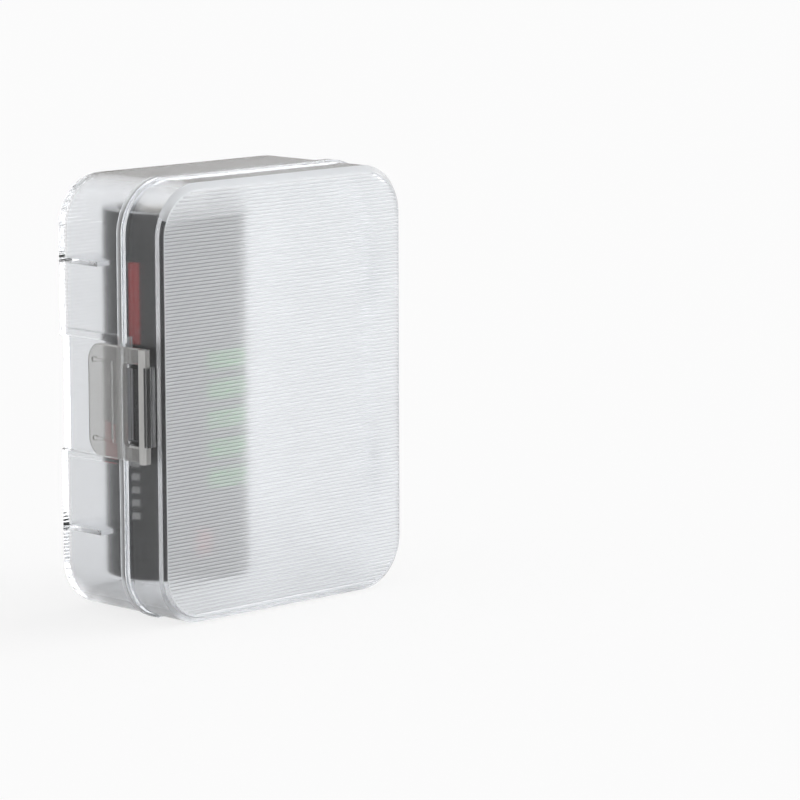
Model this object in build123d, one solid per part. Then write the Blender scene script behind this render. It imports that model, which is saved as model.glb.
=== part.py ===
from build123d import *
import math
import os

# Clear two-bay battery case that stands on its narrow lower wall, in millimetres.
# +X points to the hinge, -X to the latch, -Y to the front, +Z up.
# The origin lies on the floor, below the middle of the case.

# The stored cell, and the room round it
cell_diameter = 25.4
cell_length = 67.7
cells_apart = 2.2
cell_side_room = 2.45
cell_panel_gap = 0.65
cell_room_below = 5.5
cell_room_above = 4.1

# The two half shells
side_wall = 1.35
panel_wall = 0.95
corner_radius = 9.6
edge_bevel = 1.1
front_inner_bevel = 0.5
rear_inner_bevel = 1.6
lid_depth = 9.8
seam_gap = 0.2
rear_rim_width = 1.25
front_rim_width = 0.75
rim_proud = 0.45
tongue_height = 0.8
tongue_wall = 0.6
tongue_gap = 0.1
joint_overlap = 0.3

# Fine level ribs on the front and back panels, with a V groove between each two
rib_pitch = 0.643
rib_groove_width = 0.39
front_groove_depth = 0.08
back_groove_depth = 0.04
rib_border = 0.2

# Saddle plates that cradle the cells in the rear shell
saddle_from_end = 15.35
saddle_thickness = 0.9
saddle_gap = 0.05
saddle_behind_centre = 3.4
saddle_open_half_width = 7.0

# Recess in the rear shell's wall, under the latch
recess_wall = 1.1
recess_cell_gap = 1.1
recess_margin = 0.3

# The latch, which turns on a rod moulded at its front end
latch_height = 20.7
latch_lift = 0.4
latch_reach = 15.45
latch_plate = 0.8
latch_rim_gap = 0.1
latch_corner_radius = 3.3
latch_edge_bevel = 0.3
latch_rod_radius = 1.05
latch_rod_wall_gap = 0.2
latch_rod_from_front = 3.05
latch_arm_height = 2.9
latch_window_reach = 5.4
latch_window_radius = 1.0
hook_width = 1.4
hook_engagement = 1.0
hook_gap = 0.15
latch_rib_width = 0.5
latch_rib_depth = 0.6
latch_rib_reach = 14.2
latch_rib_end_radius = 0.5

# The open clip on the front shell that holds the latch's rod
clip_gap = 0.05
clip_wall = 0.45
clip_front_rise = 0.8
clip_rear_drop = 0.1
clip_end_gap = 0.25
clip_fin_width = 0.6
clip_fin_drop = 0.35
clip_fin_end_gap = 0.45

# The hinge: two stations, each of three knuckles on a steel pin
hinge_pin_radius = 0.6
hinge_running_gap = 0.05
hinge_press_gap = 0.03
hinge_knuckle_radius = 1.6
hinge_wall_gap = 0.15
hinge_from_end = 22.0
hinge_lid_knuckle = 4.0
hinge_rear_knuckle = 3.0
hinge_end_gap = 0.15
hinge_web_gap = 0.1

# Pieces of the cell
sleeve_wall = 0.15
sleeve_lip_width = 2.7
strip_width = 5.0
strip_wall = 0.12
strip_gap = 0.03
board_wall = 1.2
stack_gap = 0.05
contact_margin = 5.5
contact_wall = 0.3
insulator_wall = 0.4
insulator_ring_width = 5.8
cap_flange_gap = 0.3
cap_flange_width = 0.9
cap_flange_wall = 0.5
cap_button_height = 1.35
cap_edge_bevel = 0.25

# Places worked out from the sizes above
case_width = 2 * (cell_diameter + cell_side_room + side_wall) + cells_apart
case_depth = cell_diameter + 2 * (cell_panel_gap + panel_wall)
case_height = cell_length + cell_room_below + cell_room_above + 2 * side_wall
front_y = -case_depth / 2
back_y = case_depth / 2
seam_y = front_y + lid_depth
rim_back_y = seam_y + rear_rim_width
rim_front_y = seam_y - front_rim_width
wall_x = case_width / 2
bay_x = (cell_diameter + cells_apart) / 2
cell_base_z = side_wall + cell_room_below
cell_radius = cell_diameter / 2
tongue_inset = side_wall - tongue_wall

latch_z = case_height / 2 + latch_lift
recess_depth = side_wall + cell_side_room - recess_wall - recess_cell_gap
recess_half_height = latch_height / 2 + recess_margin
latch_inner_x = -wall_x - rim_proud - latch_rim_gap
latch_outer_x = latch_inner_x - latch_plate
rod_x = -wall_x - latch_rod_wall_gap - latch_rod_radius
rod_y = front_y + latch_rod_from_front
latch_half_window = latch_height / 2 - latch_arm_height
clip_half_height = latch_half_window - clip_end_gap

hinge_x = wall_x + rim_proud + hinge_wall_gap + hinge_knuckle_radius
hinge_stations = (hinge_from_end, case_height - hinge_from_end)


def rounded_prism(inset, y_low, y_high):
    """The case's outline, moved inwards by inset, as a prism from y_low to y_high."""
    plane = Plane((0, y_high, case_height / 2), x_dir=(1, 0, 0), z_dir=(0, -1, 0))
    outline = RectangleRounded(case_width - 2 * inset, case_height - 2 * inset, corner_radius - inset)
    return extrude(plane * outline, amount=y_high - y_low)


def hollow(y_low, y_high, panel_end, bevel):
    """The room inside a half shell, bevelled at the panel, which is its first (0) or last (-1) end along Y."""
    room = rounded_prism(side_wall, y_low, y_high)
    return chamfer(room.edges().group_by(Axis.Y)[panel_end], bevel)


def ring(outer_inset, inner_inset, y_low, y_high):
    """A band that follows the case's outline between two insets."""
    return rounded_prism(outer_inset, y_low, y_high) - rounded_prism(inner_inset, y_low, y_high)


def block(x_range, y_range, z_range):
    """A box between two limits along each axis."""
    sizes = [high - low for low, high in (x_range, y_range, z_range)]
    middle = [(high + low) / 2 for low, high in (x_range, y_range, z_range)]
    return Pos(*middle) * Box(*sizes)


def upright_cylinder(x, y, z_low, z_high, radius):
    """A cylinder along Z between two heights."""
    return Pos(x, y, (z_low + z_high) / 2) * Cylinder(radius, z_high - z_low)


def above_floor(solid):
    """What of a solid lies above the floor, so that the rims don't lift the case."""
    return solid & block((-case_width, case_width), (front_y, back_y), (0, 2 * case_height))


def rib_grooves(face_y, outward, depth):
    """The grooves between the ribs of a panel whose outer face is at face_y, as long as its outline allows."""
    inset = edge_bevel + rib_border
    half_width = case_width / 2 - inset
    half_height = case_height / 2 - inset
    round_radius = corner_radius - inset
    valley_y = face_y - outward * depth
    mouth_y = face_y + outward * depth / 2
    mouth_half_width = rib_groove_width * 3 / 4
    count = math.floor(2 * half_height / rib_pitch)
    grooves = []
    for index in range(count):
        height = (index - (count - 1) / 2) * rib_pitch
        past_straight = abs(height) + rib_groove_width / 2 - (half_height - round_radius)
        into_round = max(0, past_straight)
        half_length = half_width - round_radius + math.sqrt(round_radius**2 - into_round**2)
        z = case_height / 2 + height
        corners = [(mouth_y, z - mouth_half_width), (valley_y, z), (mouth_y, z + mouth_half_width)]
        profile = Plane.YZ * make_face(Polyline(*corners, close=True))
        grooves.append(extrude(profile, amount=half_length, both=True))
    return grooves


def saddle_plate():
    """One plate with two round seats, in plan, to be set at a height."""
    half_width = wall_x - side_wall + joint_overlap
    deep_y = back_y - panel_wall + joint_overlap
    plate = Rectangle(2 * half_width, deep_y - saddle_behind_centre)
    plate = Pos(0, (deep_y + saddle_behind_centre) / 2) * plate
    seat = Circle(cell_radius + saddle_gap)
    gap_below = Pos(0, cell_radius) * Rectangle(2 * saddle_open_half_width, cell_radius)
    for x in (-bay_x, bay_x):
        plate = plate - Pos(x, 0) * (seat + gap_below)
    return extrude(plate, amount=saddle_thickness / 2, both=True)


def hinge_knuckle(z_low, z_high, side, bore_radius):
    """A knuckle and its web; side is +1 for the rear shell and -1 for the front shell."""
    web_y = sorted((seam_y + side * hinge_web_gap, seam_y + side * hinge_knuckle_radius))
    barrel = upright_cylinder(hinge_x, seam_y, z_low, z_high, hinge_knuckle_radius)
    web = block((wall_x - side_wall / 2, hinge_x), web_y, (z_low, z_high))
    bore = upright_cylinder(hinge_x, seam_y, z_low, z_high, bore_radius)
    return barrel + web - bore


def rear_knuckles():
    """The outer knuckles of both hinge stations, which grip the pins."""
    near = hinge_lid_knuckle / 2 + hinge_end_gap
    far = near + hinge_rear_knuckle
    bore_radius = hinge_pin_radius + hinge_press_gap
    return [
        hinge_knuckle(station + min(span), station + max(span), 1, bore_radius)
        for station in hinge_stations
        for span in ((near, far), (-near, -far))
    ]


def lid_knuckles():
    """The middle knuckle of each hinge station, which runs on the pin."""
    half = hinge_lid_knuckle / 2
    bore_radius = hinge_pin_radius + hinge_running_gap
    return [hinge_knuckle(station - half, station + half, -1, bore_radius) for station in hinge_stations]


def make_rear_shell():
    """The deep half: tray, latch recess, cradles, locating tongue and hinge knuckles."""
    low_y = seam_y + seam_gap / 2
    body = rounded_prism(0, low_y, back_y)
    body = chamfer(body.edges().group_by(Axis.Y)[-1], edge_bevel)
    body = body + above_floor(ring(-rim_proud, side_wall / 2, low_y, rim_back_y))

    recess_x = -wall_x + recess_depth
    recess_z = (latch_z - recess_half_height, latch_z + recess_half_height)
    body = body - block((-case_width, recess_x), (rim_back_y, case_depth), recess_z)

    recess_back = block(
        (-wall_x, recess_x + recess_wall),
        (low_y, back_y),
        (recess_z[0] - recess_wall, recess_z[1] + recess_wall),
    )
    body = body - (hollow(low_y, back_y - panel_wall, -1, rear_inner_bevel) - recess_back)

    body = body + ring(tongue_inset, side_wall, seam_y - tongue_height, low_y + joint_overlap)

    for z in (saddle_from_end, case_height - saddle_from_end):
        body = body + Pos(0, 0, z) * saddle_plate()
    for knuckle in rear_knuckles():
        body = body + knuckle
    return body - rib_grooves(back_y, 1, back_groove_depth)


def latch_clip():
    """The open clip for the latch's rod, high in front and low behind, with a fin towards the seam at each end."""
    bore_radius = latch_rod_radius + clip_gap
    half_width = bore_radius + clip_wall
    root_x = -wall_x + side_wall / 2
    low_z = latch_z - clip_half_height
    high_z = latch_z + clip_half_height
    clip = block((rod_x - clip_front_rise, root_x), (rod_y - half_width, rod_y), (low_z, high_z))
    clip = clip + block((rod_x + clip_rear_drop, root_x), (rod_y, rod_y + half_width), (low_z, high_z))
    fin_y = (rod_y, rod_y + latch_window_reach - clip_fin_end_gap)
    fin_x = (rod_x + clip_fin_drop, root_x)
    clip = clip + block(fin_x, fin_y, (low_z, low_z + clip_fin_width))
    clip = clip + block(fin_x, fin_y, (high_z - clip_fin_width, high_z))
    return clip - upright_cylinder(rod_x, rod_y, low_z, high_z, bore_radius)


def make_front_shell():
    """The shallow half: lid, rebate for the tongue, latch clip and hinge knuckles."""
    high_y = seam_y - seam_gap / 2
    body = rounded_prism(0, front_y, high_y)
    body = chamfer(body.edges().group_by(Axis.Y)[0], edge_bevel)
    body = body + above_floor(ring(-rim_proud, side_wall / 2, rim_front_y, high_y))
    body = body - hollow(front_y + panel_wall, high_y, 0, front_inner_bevel)
    body = body + latch_clip()
    for knuckle in lid_knuckles():
        body = body + knuckle
    rebate_y = seam_y - tongue_height - tongue_gap
    body = body - rounded_prism(tongue_inset - tongue_gap, rebate_y, high_y)
    return body - rib_grooves(front_y, -1, front_groove_depth)


def latch_blank():
    """The latch's flat plate, rounded at the free end and open round the clip."""
    length_range = (rod_y, rod_y + latch_reach)
    height_range = (latch_z - latch_height / 2, latch_z + latch_height / 2)
    plate = block((latch_outer_x, latch_inner_x), length_range, height_range)
    free_corners = plate.edges().filter_by(Axis.X).group_by(Axis.Y)[-1]
    plate = fillet(free_corners, latch_corner_radius)
    window = block(
        (latch_outer_x - latch_plate, latch_inner_x + latch_plate),
        (rod_y - latch_window_reach, rod_y + latch_window_reach),
        (latch_z - latch_half_window, latch_z + latch_half_window),
    )
    window = fillet(window.edges().filter_by(Axis.X).group_by(Axis.Y)[-1], latch_window_radius)
    plate = plate - window
    return chamfer(plate.faces().sort_by(Axis.X)[0].edges(), latch_edge_bevel)


def latch_ribs():
    """The hook that catches the rim, and a stiffening rib from each of its ends."""
    hook_front_y = rim_back_y + hook_gap
    outer_x = latch_inner_x - joint_overlap
    rib_x = (outer_x, latch_inner_x + latch_rib_depth)
    rib_end_y = rod_y + latch_rib_reach
    pieces = [block(
        (outer_x, -wall_x - rim_proud + hook_engagement),
        (hook_front_y, hook_front_y + hook_width),
        (latch_z - latch_half_window, latch_z + latch_half_window),
    )]
    for side in (-1, 1):
        rib_z = latch_z + side * (latch_half_window - latch_rib_width / 2)
        pieces.append(block(
            rib_x,
            (hook_front_y, rib_end_y),
            (rib_z - latch_rib_width / 2, rib_z + latch_rib_width / 2),
        ))
        round_end = Cylinder(latch_rib_end_radius, rib_x[1] - rib_x[0], rotation=(0, 90, 0))
        pieces.append(Pos(sum(rib_x) / 2, rib_end_y, rib_z) * round_end)
    return pieces


def make_latch():
    """The swinging latch: plate, rod, hook and ribs, moulded in one."""
    low_z = latch_z - latch_height / 2
    body = latch_blank() + upright_cylinder(rod_x, rod_y, low_z, low_z + latch_height, latch_rod_radius)
    for piece in latch_ribs():
        body = body + piece
    return body


def make_hinge_pin(station):
    """The steel pin of one hinge station, as long as its three knuckles."""
    half = hinge_lid_knuckle / 2 + hinge_end_gap + hinge_rear_knuckle
    return upright_cylinder(hinge_x, seam_y, station - half, station + half, hinge_pin_radius)


# Levels of the stored cell, from the contact at its foot to the button at its head
sleeve_low_z = cell_base_z + contact_wall
board_low_z = sleeve_low_z + sleeve_wall + stack_gap
can_low_z = board_low_z + board_wall + stack_gap
cap_low_z = cell_base_z + cell_length - cap_button_height
sleeve_high_z = cap_low_z + cap_flange_wall + stack_gap + sleeve_wall
insulator_low_z = sleeve_high_z - sleeve_wall - stack_gap - insulator_wall
can_high_z = min(cap_low_z, insulator_low_z) - stack_gap
sleeve_inner_radius = cell_radius - sleeve_wall
can_radius = sleeve_inner_radius - strip_wall - 2 * strip_gap
insulator_bore_radius = can_radius - insulator_ring_width
cap_flange_radius = insulator_bore_radius - cap_flange_gap
cap_button_radius = cap_flange_radius - cap_flange_width


def cell_disc(z_low, z_high, radius):
    """A round piece on the stored cell's axis."""
    return upright_cylinder(-bay_x, 0, z_low, z_high, radius)


def make_sleeve():
    """The shrunk film: a tube turned in over both ends of the cell."""
    skin = cell_disc(sleeve_low_z, sleeve_high_z, cell_radius)
    inside = cell_disc(sleeve_low_z + sleeve_wall, sleeve_high_z - sleeve_wall, sleeve_inner_radius)
    return skin - inside - cell_disc(sleeve_low_z, sleeve_high_z, cell_radius - sleeve_lip_width)


def make_contact_strip():
    """The thin strip that runs down the can to the board, on the side away from the lid."""
    inner_radius = can_radius + strip_gap
    tube = cell_disc(board_low_z, can_high_z, inner_radius + strip_wall)
    tube = tube - cell_disc(board_low_z, can_high_z, inner_radius)
    width = (-bay_x - strip_width / 2, -bay_x + strip_width / 2)
    return tube & block(width, (0, case_depth), (board_low_z, can_high_z))


def make_positive_cap():
    """The pressed cap: a flange with a flat button."""
    cap = cell_disc(cap_low_z, cap_low_z + cap_flange_wall, cap_flange_radius)
    cap = cap + cell_disc(cap_low_z, cap_low_z + cap_button_height, cap_button_radius)
    return chamfer(cap.edges().group_by(Axis.Z)[-1], cap_edge_bevel)


def make_insulator_ring():
    """The washer between the can's crimped edge and the cap."""
    washer = cell_disc(insulator_low_z, insulator_low_z + insulator_wall, can_radius)
    return washer - cell_disc(insulator_low_z, insulator_low_z + insulator_wall, insulator_bore_radius)


nodes = {
    "rear_shell": make_rear_shell(),
    "front_shell": make_front_shell(),
    "latch": make_latch(),
    "hinge_pin_lower": make_hinge_pin(hinge_stations[0]),
    "hinge_pin_upper": make_hinge_pin(hinge_stations[1]),
    "cell_can": cell_disc(can_low_z, can_high_z, can_radius),
    "cell_sleeve": make_sleeve(),
    "cell_contact_strip": make_contact_strip(),
    "cell_protection_board": cell_disc(board_low_z, board_low_z + board_wall, can_radius),
    "cell_negative_contact": cell_disc(cell_base_z, board_low_z, cell_radius - contact_margin),
    "cell_insulator_ring": make_insulator_ring(),
    "cell_positive_cap": make_positive_cap(),
}

os.makedirs("parts", exist_ok=True)
for name, solid in nodes.items():
    export_step(solid, f"parts/{name}.step")
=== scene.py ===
import bpy
import math
from mathutils import Matrix, Vector


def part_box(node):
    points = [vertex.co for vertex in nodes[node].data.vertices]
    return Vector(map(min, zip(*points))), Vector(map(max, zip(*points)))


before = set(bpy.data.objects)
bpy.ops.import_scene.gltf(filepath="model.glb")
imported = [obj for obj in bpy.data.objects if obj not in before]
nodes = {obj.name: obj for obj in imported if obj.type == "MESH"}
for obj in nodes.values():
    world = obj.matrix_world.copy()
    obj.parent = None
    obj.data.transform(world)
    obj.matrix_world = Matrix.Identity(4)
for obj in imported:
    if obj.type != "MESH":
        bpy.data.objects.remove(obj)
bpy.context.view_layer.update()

MM = 0.001

# The camera, as the photograph was taken: angles in degrees, lengths in metres
PICTURE_PIXELS = 800
CAMERA_AZIMUTH = -42.33
CAMERA_ELEVATION = 8.75
CAMERA_ROLL = -0.22
CAMERA_DISTANCE = 0.800
CAMERA_FOCAL_PIXELS = 4313.0
CAMERA_NEAR = 0.01
CASE_CENTRE_PIXELS = (232.8, 381.8)
CASE_CENTRE = Vector((0.0, 0.0, 0.040))
SENSOR_MM = 36.0

# Sizes that the looks share with the solids
CASE_HALF_WIDTH = 30.3 * MM
CASE_HALF_HEIGHT = 40.0 * MM
CORNER_RADIUS = 9.6 * MM
SIDE_WALL = 1.35 * MM
PANEL_WALL = 0.95 * MM
EDGE_BEVEL = 1.1 * MM
RIB_DEPTH = 0.08 * MM
RIM_PROUD = 0.45 * MM
SEAM_Y = -4.5 * MM
SEAM_REACH = 0.25 * MM
REBATE_Y = -5.4 * MM
TONGUE_END_Y = -5.3 * MM
JOINT_INSETS = (0.6 * MM, 0.8 * MM)
RECESS_X = -28.7 * MM
CRADLE_Y = 3.4 * MM
CRADLE_FROM_MIDDLE = 24.65 * MM
CRADLE_HALF_WALL = 0.45 * MM
ROD_X = -31.55 * MM
ROD_Y = -11.25 * MM
ROD_RADIUS = 1.05 * MM
CELL_X = -13.8 * MM

# How faces are told apart: a length to spare, a share of a wall, and parts of a face's normal
SLACK = 0.03 * MM
INSIDE_SHARE = 0.8
FLAT_TURN = 0.99
OUTWARD_TURN = 0.1
UPWARD_TURN = 0.3

# The rear part of the rod, made milky as a painted light strip: its direction, and where it starts
ROD_REAR_WAY = (-0.739, 0.673)
ROD_REAR_FROM = -0.25 * MM

# The order of a shell's materials
BODY = 0
RIBS = 1
WALL_INSIDES = 2
PANEL_INSIDE = 3
RIM_OUTSIDE = 4
JOINT = 5
GROOVES = 6
TOP_EDGE = 7
THIN_PIECES = 8
RECESS_END = 9

# The plastic
CLEAR_TINT = (0.965, 0.975, 0.99)
MILKY_TINT = (0.835, 0.855, 0.88)
RIM_TINT = (0.94, 0.955, 0.98)
LATCH_GREY_TINT = (0.76, 0.755, 0.74)
# Painted shade: a dark grey tint for the clip round the latch's rod
CLIP_PAINTED_SHADE_TINT = (0.3, 0.3, 0.3)
# Painted shade: a near black tint for the end of the latch's recess
RECESS_END_PAINTED_SHADE_TINT = (0.05, 0.05, 0.05)
PLASTIC_IOR = 1.49
FAINT_IOR = 1.15
CLOSED_IOR = 1.0
CLOUD_SHADE = 0.97
CLOUD_SCALE = 120.0
# Painted shade on the rim towards the seam: its colour there, and how far it reaches
RIM_PAINTED_SHADE = (0.3, 0.3, 0.3)
RIM_PAINTED_SHADE_REACH = 0.8 * MM

# The other materials: the noise values that are used, colours, and spans of roughness
NOISE_SPAN = (0.3, 0.7)
FILM_ROUGHNESS = (0.16, 0.26)
FILM_NOISE_SCALE = 300.0
METAL_NOISE_SCALE = 2500.0
METAL_ROUGHNESS_SPREAD = 0.12
BOARD_ROUGHNESS = (0.5, 0.75)
BOARD_NOISE_SCALE = 3000.0
NICKEL_COLOR = (0.80, 0.78, 0.74)
CAN_COLOR = (0.55, 0.55, 0.56)
PIN_COLOR = (0.62, 0.62, 0.63)
BOARD_COLOR = (0.03, 0.14, 0.07)
INSULATOR_COLOR = (0.05, 0.05, 0.05)

# Plain printed marks on the film: angles round the cell in degrees, heights in millimetres
FILM_BLACK = (0.007, 0.007, 0.008)
MARK_RED = (0.45, 0.03, 0.03)
MARK_GREEN = (0.03, 0.50, 0.04)
MARK_PALE = (0.42, 0.42, 0.41)
RED_STRIPE = ((-170.6, -160.0), (50.5, 65.3))
RED_SPOT = ((-118.0, -105.0), (12.0, 16.5))
RED_PATCH = ((150.0, 176.0), (29.0, 35.5))
GREEN_ANGLES = (-107.0, -57.0)
GREEN_FIRST = 24.0
GREEN_PITCH = 5.4
GREEN_HEIGHT = 3.4
GREEN_COUNT = 5
PALE_ANGLES = (-169.6, -162.0)
PALE_FIRST = 18.4
PALE_PITCH = 2.4
PALE_HEIGHT = 1.2
PALE_COUNT = 5

# The floor
FLOOR_HALF = 3.0
FLOOR_GAP = 0.05 * MM
FLOOR_COLOR = (0.95, 0.95, 0.95)
FLOOR_WHITE_SHARE = 0.8
FLOOR_THROUGH_SHARE = 0.15
FLOOR_SHINE = 0.55

# Light: a white room with a soft lamp on the right; reflections show it dimmer, with a dark back wall
WHITE = (1.0, 1.0, 1.0)
ROOM_LIGHT = 0.65
ROOM_SHINE = 0.6
LAMP_STRENGTH = 4.0
LAMP_WAY = (0.92, -0.38)
LAMP_SIDES = (0.68, 0.85)
LAMP_FOOT = (0.0, 0.12)
LAMP_TOP = (0.50, 0.70)
BACK_WALL = (0.37, 0.345, 0.305)
BACK_WALL_WAY = (0.677, 0.736)
BACK_WALL_SIDES = (0.1, 0.4)
BACK_WALL_FOOT = (-0.03, 0.03)
BACK_WALL_TOP = (0.55, 0.80)
LIGHT_BOUNCES = 64


def new_material(name):
    """A material with a principled shader, and its node tree."""
    material = bpy.data.materials.new(name)
    material.use_nodes = True
    tree = material.node_tree
    shader = tree.nodes["Principled BSDF"]
    return material, tree, shader


def axes_of(tree, kind):
    """X, Y and Z of one kind of texture coordinates."""
    place = tree.nodes.new("ShaderNodeTexCoord")
    split = tree.nodes.new("ShaderNodeSeparateXYZ")
    tree.links.new(place.outputs[kind], split.inputs["Vector"])
    return split.outputs


def noise_of(tree, scale, detail):
    """A noise that is fixed to the object; gives its output."""
    place = tree.nodes.new("ShaderNodeTexCoord")
    noise = tree.nodes.new("ShaderNodeTexNoise")
    noise.inputs["Scale"].default_value = scale
    noise.inputs["Detail"].default_value = detail
    tree.links.new(place.outputs["Object"], noise.inputs["Vector"])
    return noise.outputs["Fac"]


def noise_into(tree, scale, detail, low, high, socket):
    """Links a noise, mapped to low and high, to a shader's socket."""
    spread = tree.nodes.new("ShaderNodeMapRange")
    spread.inputs["From Min"].default_value = NOISE_SPAN[0]
    spread.inputs["From Max"].default_value = NOISE_SPAN[1]
    spread.inputs["To Min"].default_value = low
    spread.inputs["To Max"].default_value = high
    tree.links.new(noise_of(tree, scale, detail), spread.inputs["Value"])
    tree.links.new(spread.outputs["Result"], socket)


def math_node(tree, operation, first, second):
    """A math node on sockets or plain numbers; gives its output."""
    node = tree.nodes.new("ShaderNodeMath")
    node.operation = operation
    for socket, value in zip(node.inputs, (first, second)):
        if isinstance(value, (int, float)):
            socket.default_value = value
        else:
            tree.links.new(value, socket)
    return node.outputs["Value"]


def between(tree, value, low, high):
    """One where a value lies between two limits, and nought elsewhere."""
    above = math_node(tree, "GREATER_THAN", value, low)
    below = math_node(tree, "LESS_THAN", value, high)
    return math_node(tree, "MULTIPLY", above, below)


def ramp(tree, value, low, high):
    """Rises smoothly from nought at low to one at high; gives its output."""
    node = tree.nodes.new("ShaderNodeMapRange")
    node.interpolation_type = "SMOOTHSTEP"
    node.inputs["From Min"].default_value = low
    node.inputs["From Max"].default_value = high
    tree.links.new(value, node.inputs["Value"])
    return node.outputs["Result"]


def paint(tree, mask, color, under):
    """Lays a colour over another one, plain or mixed, where a mask is one; gives the mixed colour."""
    mix = tree.nodes.new("ShaderNodeMix")
    mix.data_type = "RGBA"
    color_inputs = [socket for socket in mix.inputs if socket.type == "RGBA"]
    color_inputs[1].default_value = (*color, 1.0)
    tree.links.new(mask, mix.inputs[0])
    if isinstance(under, tuple):
        color_inputs[0].default_value = (*under, 1.0)
    else:
        tree.links.new(under, color_inputs[0])
    return [socket for socket in mix.outputs if socket.type == "RGBA"][0]


def set_plastic(shader, color, transmission, roughness, ior):
    """Sets the plain values of a plastic."""
    shader.inputs["Base Color"].default_value = (*color, 1.0)
    shader.inputs["Transmission Weight"].default_value = transmission
    shader.inputs["Roughness"].default_value = roughness
    shader.inputs["IOR"].default_value = ior


def plastic(name, color, transmission, roughness, ior=PLASTIC_IOR):
    """Clear or milky plastic, with broad and very faint clouds in its colour."""
    material, tree, shader = new_material(name)
    set_plastic(shader, color, transmission, roughness, ior)
    deeper = tuple(CLOUD_SHADE * part for part in color)
    clouds = noise_of(tree, CLOUD_SCALE, 0.0)
    tree.links.new(paint(tree, clouds, deeper, color), shader.inputs["Base Color"])
    return material


def rim_with_painted_shade(name, color, transmission, roughness):
    """Milky plastic with painted shade: it grows darker towards the seam."""
    material, tree, shader = new_material(name)
    set_plastic(shader, color, transmission, roughness, PLASTIC_IOR)
    away = ramp(tree, axes_of(tree, "Object")["Y"], SEAM_Y, SEAM_Y + RIM_PAINTED_SHADE_REACH)
    tree.links.new(paint(tree, away, color, RIM_PAINTED_SHADE), shader.inputs["Base Color"])
    return material


def film_marks():
    """Every mark as a colour, a span of angles and a span of heights."""
    marks = [(MARK_RED, *RED_STRIPE), (MARK_RED, *RED_SPOT), (MARK_RED, *RED_PATCH)]
    for index in range(GREEN_COUNT):
        low = GREEN_FIRST + index * GREEN_PITCH
        marks.append((MARK_GREEN, GREEN_ANGLES, (low, low + GREEN_HEIGHT)))
    for index in range(PALE_COUNT):
        low = PALE_FIRST + index * PALE_PITCH
        marks.append((MARK_PALE, PALE_ANGLES, (low, low + PALE_HEIGHT)))
    return marks


def black_film():
    """The glossy black film of the cell, with its plain coloured marks."""
    material, tree, shader = new_material("black_film")
    noise_into(tree, FILM_NOISE_SCALE, 1.0, *FILM_ROUGHNESS, shader.inputs["Roughness"])
    axes = axes_of(tree, "Object")
    across = math_node(tree, "SUBTRACT", axes["X"], CELL_X)
    turn = math_node(tree, "ARCTAN2", axes["Y"], across)
    angle = math_node(tree, "MULTIPLY", turn, 180.0 / math.pi)
    height = math_node(tree, "MULTIPLY", axes["Z"], 1.0 / MM)
    color = FILM_BLACK
    for mark_color, angles, heights in film_marks():
        mask = math_node(tree, "MULTIPLY", between(tree, angle, *angles), between(tree, height, *heights))
        color = paint(tree, mask, mark_color, color)
    tree.links.new(color, shader.inputs["Base Color"])
    return material


def bright_metal(name, color, roughness):
    """Plated or drawn metal with a fine grain."""
    material, tree, shader = new_material(name)
    shader.inputs["Base Color"].default_value = (*color, 1.0)
    shader.inputs["Metallic"].default_value = 1.0
    rougher = roughness + METAL_ROUGHNESS_SPREAD
    noise_into(tree, METAL_NOISE_SCALE, 2.0, roughness, rougher, shader.inputs["Roughness"])
    return material


def dull_board(name, color):
    """Board and fibre pieces with a little grain."""
    material, tree, shader = new_material(name)
    shader.inputs["Base Color"].default_value = (*color, 1.0)
    noise_into(tree, BOARD_NOISE_SCALE, 4.0, *BOARD_ROUGHNESS, shader.inputs["Roughness"])
    return material


def dress(node, *materials):
    """Gives a node its materials, all faces to the first one."""
    mesh = nodes[node].data
    mesh.materials.clear()
    for material in materials:
        mesh.materials.append(material)
    for polygon in mesh.polygons:
        polygon.material_index = 0


def inset_of(point):
    """How far a point lies inside the case's outline."""
    past_x = abs(point.x) - (CASE_HALF_WIDTH - CORNER_RADIUS)
    past_z = abs(point.z - CASE_HALF_HEIGHT) - (CASE_HALF_HEIGHT - CORNER_RADIUS)
    if past_x > 0 and past_z > 0:
        return CORNER_RADIUS - math.hypot(past_x, past_z)
    return CORNER_RADIUS - max(past_x, past_z)


def in_joint(center, inset):
    """Whether a face lies between tongue and rebate, where light goes straight through."""
    on_side = JOINT_INSETS[0] < inset < JOINT_INSETS[1] and REBATE_Y < center.y < SEAM_Y - SLACK
    on_end = inset > JOINT_INSETS[0] and REBATE_Y - SLACK < center.y < TONGUE_END_Y + SLACK
    return on_side or on_end


def on_recess_end(polygon, inset):
    """Whether a face is the narrow end of the latch's recess, beside the seam."""
    beside_seam = TONGUE_END_Y - SLACK < polygon.center.y < SEAM_Y + SEAM_REACH
    return beside_seam and inset > SIDE_WALL + SLACK and polygon.normal.y < -FLAT_TURN


def on_cradle(center, inset):
    """Whether a face belongs to one of the thin cradle plates."""
    off_plate = abs(abs(center.z - CASE_HALF_HEIGHT) - CRADLE_FROM_MIDDLE)
    in_plate = off_plate < CRADLE_HALF_WALL + SLACK
    return in_plate and center.y > CRADLE_Y - SLACK and inset > SIDE_WALL + SLACK


def on_clip(center, inset):
    """Whether a face belongs to the thin clip round the latch's rod."""
    return inset < -SLACK and center.x < 0 and center.y < REBATE_Y


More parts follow.
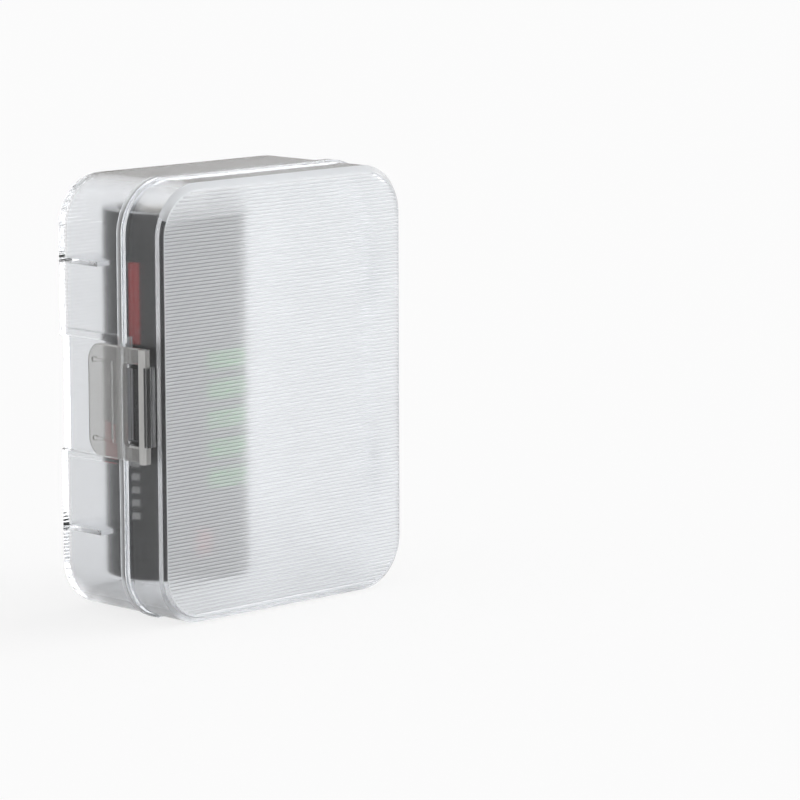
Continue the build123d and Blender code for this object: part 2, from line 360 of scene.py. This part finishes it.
def shell_slot(polygon, face_y, outward):
    """The material slot of one face of a shell, whose ribbed side is at face_y and looks outward."""
    center = polygon.center
    normal = polygon.normal
    depth = abs(center.y - face_y)
    inset = inset_of(center)
    inside = inset > INSIDE_SHARE * SIDE_WALL and depth > INSIDE_SHARE * PANEL_WALL
    if depth < RIB_DEPTH + SLACK and normal.y * outward > OUTWARD_TURN:
        return RIBS if abs(normal.y) > FLAT_TURN else GROOVES
    # The upward faces of the edge bevel by the ribbed face; the front shell gives them milky plastic as
    # painted light, so its top edge looks lighter
    if depth < EDGE_BEVEL and inset < EDGE_BEVEL and normal.z > UPWARD_TURN:
        return TOP_EDGE
    if on_recess_end(polygon, inset):
        return RECESS_END
    if in_joint(center, inset):
        return JOINT
    if inside and depth < PANEL_WALL + SLACK:
        return PANEL_INSIDE
    if on_cradle(center, inset) or on_clip(center, inset):
        return THIN_PIECES
    if inside and abs(center.x - RECESS_X) > SLACK:
        return WALL_INSIDES
    if abs(inset + RIM_PROUD) < SLACK:
        return RIM_OUTSIDE
    return BODY


def dress_shell(node, looks, face_y, outward):
    """Gives a shell its materials, listed in the order of the slots, and sorts its faces into them."""
    dress(node, *looks.values())
    for polygon in nodes[node].data.polygons:
        polygon.material_index = shell_slot(polygon, face_y, outward)


def dress_latch(plate, rod):
    """Gives the latch its material, and the rear part of its rod a milky one, as a painted light strip.
    """
    dress("latch", plate, rod)
    for polygon in nodes["latch"].data.polygons:
        off_x = polygon.center.x - ROD_X
        off_y = polygon.center.y - ROD_Y
        rearward = off_x * ROD_REAR_WAY[0] + off_y * ROD_REAR_WAY[1]
        if math.hypot(off_x, off_y) < ROD_RADIUS + SLACK and rearward > ROD_REAR_FROM:
            polygon.material_index = 1


def dress_case():
    """The plastics of the two shells and the latch."""
    clear = plastic("clear_plastic", CLEAR_TINT, transmission=1.0, roughness=0.02)
    grey_latch = plastic("grey_latch_plastic", LATCH_GREY_TINT, transmission=0.82, roughness=0.03)
    milky_ribs = plastic("milky_ribs", MILKY_TINT, transmission=0.46, roughness=0.24)
    milky_grooves = plastic("milky_grooves", MILKY_TINT, transmission=0.60, roughness=0.24)
    clear_ribs = plastic("clear_ribs", CLEAR_TINT, transmission=1.0, roughness=0.04)
    matte = plastic("matte_plastic", CLEAR_TINT, transmission=1.0, roughness=0.20)
    closed = plastic("closed_joint", CLEAR_TINT, transmission=1.0, roughness=0.02, ior=CLOSED_IOR)
    faint = plastic("faint_plastic", CLEAR_TINT, transmission=1.0, roughness=0.4, ior=FAINT_IOR)
    # Painted shade: a dark grey tint on the clip round the latch's rod
    painted_shade_clip = plastic("painted_shade_clip_plastic", CLIP_PAINTED_SHADE_TINT, transmission=1.0, roughness=0.1)
    # Painted shade: a near black tint on the end of the latch's recess
    painted_shade_recess_end = plastic("painted_shade_recess_end", RECESS_END_PAINTED_SHADE_TINT, transmission=1.0, roughness=0.3)
    # Painted light: milky plastic on the rear part of the rod shows a light strip along it
    rod_painted_light_strip = plastic("rod_painted_light_strip", LATCH_GREY_TINT, transmission=0.35, roughness=0.1)
    # Painted shade: the rear rim grows darker towards the seam
    milky_rim = rim_with_painted_shade("milky_rim", RIM_TINT, transmission=0.6, roughness=0.2)
    frosted = plastic("frosted_plastic", CLEAR_TINT, transmission=1.0, roughness=0.30)
    rear_looks = {
        BODY: clear,
        RIBS: clear_ribs,
        WALL_INSIDES: matte,
        PANEL_INSIDE: clear,
        RIM_OUTSIDE: milky_rim,
        JOINT: closed,
        GROOVES: clear_ribs,
        TOP_EDGE: clear,
        THIN_PIECES: faint,
        RECESS_END: painted_shade_recess_end,
    }
    front_looks = {
        BODY: clear,
        RIBS: milky_ribs,
        WALL_INSIDES: matte,
        PANEL_INSIDE: frosted,
        RIM_OUTSIDE: clear,
        JOINT: closed,
        GROOVES: milky_grooves,
        # Painted light: milky plastic on the upward bevel makes the top edge lighter
        TOP_EDGE: milky_ribs,
        THIN_PIECES: painted_shade_clip,
    }
    dress_shell("rear_shell", rear_looks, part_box("rear_shell")[1].y, outward=1.0)
    dress_shell("front_shell", front_looks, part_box("front_shell")[0].y, outward=-1.0)
    dress_latch(grey_latch, rod_painted_light_strip)


def dress_other_pieces():
    """The stored cell's film, metals and boards, and the hinge pins."""
    nickel = bright_metal("nickel", NICKEL_COLOR, roughness=0.22)
    pin_steel = bright_metal("pin_steel", PIN_COLOR, roughness=0.25)
    dress("cell_sleeve", black_film())
    dress("cell_positive_cap", nickel)
    dress("cell_negative_contact", nickel)
    dress("cell_contact_strip", nickel)
    dress("cell_can", bright_metal("can_steel", CAN_COLOR, roughness=0.3))
    dress("cell_protection_board", dull_board("board", BOARD_COLOR))
    dress("cell_insulator_ring", dull_board("insulator", INSULATOR_COLOR))
    dress("hinge_pin_lower", pin_steel)
    dress("hinge_pin_upper", pin_steel)


def mirrored(tree, path):
    """One for rays that a surface reflects, and nought for those that go through it."""
    return math_node(tree, "MULTIPLY", path.outputs["Is Glossy Ray"], path.outputs["Is Reflection Ray"])


def floor_glow(tree):
    """The floor's share of plain glow and the glow's strength, by the way the floor is seen."""
    path = tree.nodes.new("ShaderNodeLightPath")
    shine = mirrored(tree, path)
    through = math_node(tree, "MULTIPLY", path.outputs["Is Transmission Ray"], FLOOR_THROUGH_SHARE)
    free = math_node(tree, "MULTIPLY", path.outputs["Is Camera Ray"], FLOOR_WHITE_SHARE)
    share = math_node(tree, "MAXIMUM", math_node(tree, "MAXIMUM", free, through), shine)
    dimming = math_node(tree, "MULTIPLY", shine, 1.0 - FLOOR_SHINE)
    return share, math_node(tree, "SUBTRACT", 1.0, dimming)


def floor_material():
    """A pale, dull floor with a share of plain glow."""
    material, tree, shader = new_material("floor")
    shader.inputs["Base Color"].default_value = (*FLOOR_COLOR, 1.0)
    shader.inputs["Roughness"].default_value = 1.0
    shader.inputs["Specular IOR Level"].default_value = 0.0
    glow = tree.nodes.new("ShaderNodeEmission")
    blend = tree.nodes.new("ShaderNodeMixShader")
    share, strength = floor_glow(tree)
    tree.links.new(share, blend.inputs["Fac"])
    tree.links.new(strength, glow.inputs["Strength"])
    tree.links.new(shader.outputs["BSDF"], blend.inputs[1])
    tree.links.new(glow.outputs["Emission"], blend.inputs[2])
    tree.links.new(blend.outputs["Shader"], tree.nodes["Material Output"].inputs["Surface"])
    return material


def make_floor():
    """A wide white floor that keeps a light shadow of the object."""
    half = FLOOR_HALF
    corners = [(-half, -half, 0.0), (half, -half, 0.0), (half, half, 0.0), (-half, half, 0.0)]
    mesh = bpy.data.meshes.new("floor")
    mesh.from_pydata(corners, [], [(0, 1, 2, 3)])
    mesh.materials.append(floor_material())
    floor = bpy.data.objects.new("floor", mesh)
    floor.location.z = -FLOOR_GAP
    bpy.context.scene.collection.objects.link(floor)


def upright_field(tree, way, sides, foot, top):
    """One for directions to an upright field of the room, falling off softly round it."""
    axes = axes_of(tree, "Generated")
    along_x = math_node(tree, "MULTIPLY", axes["X"], way[0])
    along_y = math_node(tree, "MULTIPLY", axes["Y"], way[1])
    ahead = ramp(tree, math_node(tree, "ADD", along_x, along_y), *sides)
    above_foot = ramp(tree, axes["Z"], *foot)
    below_top = math_node(tree, "SUBTRACT", 1.0, ramp(tree, axes["Z"], *top))
    return math_node(tree, "MULTIPLY", ahead, math_node(tree, "MULTIPLY", above_foot, below_top))


def make_world():
    """White to look at, dimmer as light and in reflections, with a lamp and a back wall in it."""
    world = bpy.data.worlds.new("studio")
    bpy.context.scene.world = world
    world.use_nodes = True
    tree = world.node_tree
    background = tree.nodes["Background"]
    path = tree.nodes.new("ShaderNodeLightPath")
    shine = mirrored(tree, path)
    wall = upright_field(tree, BACK_WALL_WAY, BACK_WALL_SIDES, BACK_WALL_FOOT, BACK_WALL_TOP)
    wall = math_node(tree, "MULTIPLY", shine, wall)
    tree.links.new(paint(tree, wall, BACK_WALL, WHITE), background.inputs["Color"])
    seen = math_node(tree, "MAXIMUM", path.outputs["Is Camera Ray"], path.outputs["Is Transmission Ray"])
    room = math_node(tree, "MAXIMUM", seen, math_node(tree, "MULTIPLY", shine, ROOM_SHINE))
    unseen = math_node(tree, "SUBTRACT", 1.0, math_node(tree, "MAXIMUM", seen, shine))
    room = math_node(tree, "MAXIMUM", room, math_node(tree, "MULTIPLY", unseen, ROOM_LIGHT))
    lamp = upright_field(tree, LAMP_WAY, LAMP_SIDES, LAMP_FOOT, LAMP_TOP)
    lamp = math_node(tree, "MULTIPLY", lamp, LAMP_STRENGTH)
    away = math_node(tree, "SUBTRACT", 1.0, path.outputs["Is Camera Ray"])
    strength = math_node(tree, "ADD", room, math_node(tree, "MULTIPLY", lamp, away))
    tree.links.new(strength, background.inputs["Strength"])


def make_camera():
    """The camera at the photograph's angle, with the case left of the picture's centre."""
    azimuth = math.radians(CAMERA_AZIMUTH)
    elevation = math.radians(CAMERA_ELEVATION)
    back = Vector((
        math.sin(azimuth) * math.cos(elevation),
        -math.cos(azimuth) * math.cos(elevation),
        math.sin(elevation),
    ))
    place = CASE_CENTRE + back * CAMERA_DISTANCE
    right = (-back).cross(Vector((0, 0, 1))).normalized()
    up = right.cross(-back)
    off_right = (CASE_CENTRE_PIXELS[0] - PICTURE_PIXELS / 2) / CAMERA_FOCAL_PIXELS
    off_down = (CASE_CENTRE_PIXELS[1] - PICTURE_PIXELS / 2) / CAMERA_FOCAL_PIXELS
    ahead = (-back - right * off_right + up * off_down).normalized()
    right = ahead.cross(Vector((0, 0, 1))).normalized()
    right = Matrix.Rotation(math.radians(CAMERA_ROLL), 3, -ahead) @ right
    up = right.cross(ahead)
    data = bpy.data.cameras.new("camera")
    data.sensor_width = SENSOR_MM
    data.lens = CAMERA_FOCAL_PIXELS / PICTURE_PIXELS * SENSOR_MM
    data.clip_start = CAMERA_NEAR
    camera = bpy.data.objects.new("camera", data)
    turn = Matrix((right, up, -ahead)).transposed()
    camera.matrix_world = Matrix.Translation(place) @ turn.to_4x4()
    bpy.context.scene.collection.objects.link(camera)
    bpy.context.scene.camera = camera


dress_case()
dress_other_pieces()
make_floor()
make_world()
make_camera()
bpy.context.scene.view_settings.view_transform = "Standard"
bpy.context.scene.cycles.max_bounces = LIGHT_BOUNCES
bpy.context.scene.cycles.glossy_bounces = LIGHT_BOUNCES
bpy.context.scene.cycles.transmission_bounces = LIGHT_BOUNCES
